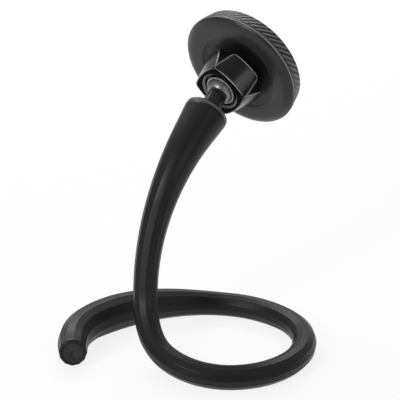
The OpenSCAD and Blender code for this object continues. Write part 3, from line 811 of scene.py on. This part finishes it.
def collar_material():
    """Anodised ring: satin grey on its side, and painted nearly black on the face toward the neck as painted
    shade.
    """
    mat, tree, bsdf = principled("collar_satin", (0.07, 0.07, 0.071), 0.3, Specular_IOR_Level=0.4)
    facing = add(tree, "ShaderNodeVectorMath", operation="DOT_PRODUCT")
    facing.inputs[1].default_value = joints["head_pan"]["axis"]
    tree.links.new(add(tree, "ShaderNodeNewGeometry").outputs["Normal"], facing.inputs[0])
    speckle = noise(tree, object_place(tree), 900)
    uneven = math_node(tree, "MULTIPLY_ADD", speckle, 0.1, -0.05)
    turned = math_node(tree, "ADD", facing.outputs["Value"], uneven)
    # The face toward the neck is painted nearly black: painted shade.
    side, face = (COLLAR_SIDE, (0.085, 0.085, 0.086)), (COLLAR_FACE, (0.002, 0.002, 0.002))
    tree.links.new(color_ramp(tree, turned, side, face), bsdf.inputs["Base Color"])
    gloss = add(tree, "ShaderNodeMapRange")
    gloss.inputs["From Min"].default_value = COLLAR_SIDE
    gloss.inputs["From Max"].default_value = COLLAR_FACE
    gloss.inputs["To Min"].default_value = 0.4
    gloss.inputs["To Max"].default_value = 0.04
    tree.links.new(turned, gloss.inputs["Value"])
    tree.links.new(gloss.outputs["Result"], bsdf.inputs["Specular IOR Level"])
    tree.links.new(math_node(tree, "MULTIPLY_ADD", speckle, 0.1, 0.25), bsdf.inputs["Roughness"])
    return mat


NODE_MATERIALS = {
    "arm_core": STEEL,
    "tail_ferrule": DARK_METAL,
    "head_ferrule": DARK_METAL,
    "collar": collar_material(),
    "ball_seat": INNER,
    "pressure_ring": INNER,
    "front_shell": INNER,
    "magnet_tray": INNER,
    "magnets": STEEL,
    "shield_plate": STEEL,
    "shell_screws": STEEL,
    "front_pad": PAD,
}
for name, mat in NODE_MATERIALS.items():
    dress(frame["nodes"][name], mat)

# Floor, light and camera, in metres
FLOOR_HALF = 6
FLOOR_GLOW = 0.85  # share of plain white in the floor, where it is seen directly
WORLD_LEVEL = 0.6
LAMP_AIM = (0, 0, 0.07)
LAMPS = {  # place, width and height, and power in watts
    "left": ((-0.6, -0.62, 0.6), (0.25, 0.25), 4),
    "right": ((0.75, -0.85, 0.62), (0.5, 0.5), 1.3),
    "back": ((-0.15, 0.95, 0.95), (1.0, 0.25), 9),
}
CAMERA_TARGET = Vector((5.778, -2.532, 64.82)) * MM
CAMERA_DISTANCE = 0.85
CAMERA_ELEVATION = math.radians(24)
CAMERA_LENS = 165.4
CAMERA_SENSOR = 36


def seen_directly(tree):
    """1 for rays from the camera, off a glossy surface or through glass, and 0 for the rest."""
    path = add(tree, "ShaderNodeLightPath")
    seen = math_node(tree, "MAXIMUM", path.outputs["Is Camera Ray"], path.outputs["Is Transmission Ray"])
    return math_node(tree, "MAXIMUM", seen, path.outputs["Is Glossy Ray"])


def floor():
    """Matt pale floor that looks nearly white and still lights the object as a matt one does."""
    corners = [(FLOOR_HALF * x, FLOOR_HALF * y, 0) for x, y in ((-1, -1), (1, -1), (1, 1), (-1, 1))]
    obj = new_object("floor", corners, [(0, 1, 2, 3)])
    mat, tree, bsdf = principled("floor_white", (0.93, 0.93, 0.93), 0.9, Specular_IOR_Level=0)
    glow = add(tree, "ShaderNodeEmission")
    glow.inputs["Strength"].default_value = 1
    mix = add(tree, "ShaderNodeMixShader")
    tree.links.new(math_node(tree, "MULTIPLY", seen_directly(tree), FLOOR_GLOW), mix.inputs[0])
    tree.links.new(bsdf.outputs[0], mix.inputs[1])
    tree.links.new(glow.outputs[0], mix.inputs[2])
    tree.links.new(mix.outputs[0], tree.nodes["Material Output"].inputs["Surface"])
    dress(obj, mat)


def world_light():
    """A studio that is pale behind and above the object and darker on the camera's side."""
    world = bpy.data.worlds.new("studio")
    bpy.context.scene.world = world
    world.use_nodes = True
    tree = world.node_tree
    background = tree.nodes["Background"]
    split = add(tree, "ShaderNodeSeparateXYZ")
    tree.links.new(add(tree, "ShaderNodeTexCoord").outputs["Generated"], split.inputs["Vector"])
    back = math_node(tree, "MULTIPLY_ADD", split.outputs["Y"], 0.5, 0.35)
    up = math_node(tree, "MULTIPLY_ADD", split.outputs["Z"], 0.5, back)
    color = color_ramp(tree, up, (0.1, (0.12, 0.12, 0.12)), (0.9, (1, 1, 1)))
    tree.links.new(color, background.inputs["Color"])
    background.inputs["Strength"].default_value = WORLD_LEVEL


def area_light(name, place, size, power):
    """Soft lamp aimed at the object."""
    light = bpy.data.lights.new(name, "AREA")
    light.shape = "RECTANGLE"
    light.size, light.size_y = size
    light.energy = power
    obj = bpy.data.objects.new(name, light)
    bpy.context.scene.collection.objects.link(obj)
    obj.location = place
    obj.rotation_euler = (Vector(LAMP_AIM) - Vector(place)).to_track_quat("-Z", "Y").to_euler()


def camera():
    """Camera in front of the object, above the table, at the photograph's angle."""
    data = bpy.data.cameras.new("camera")
    data.lens = CAMERA_LENS
    data.sensor_width = CAMERA_SENSOR
    data.clip_start = 0.01
    data.clip_end = 50
    obj = bpy.data.objects.new("camera", data)
    bpy.context.scene.collection.objects.link(obj)
    back = Vector((0, -math.cos(CAMERA_ELEVATION), math.sin(CAMERA_ELEVATION)))
    obj.location = CAMERA_TARGET + back * CAMERA_DISTANCE
    obj.rotation_euler = (math.pi / 2 - CAMERA_ELEVATION, 0, 0)
    bpy.context.scene.camera = obj


floor()
world_light()
for name, (place, size, power) in LAMPS.items():
    area_light(name, place, size, power)
camera()
bpy.context.scene.view_settings.view_transform = "Standard"
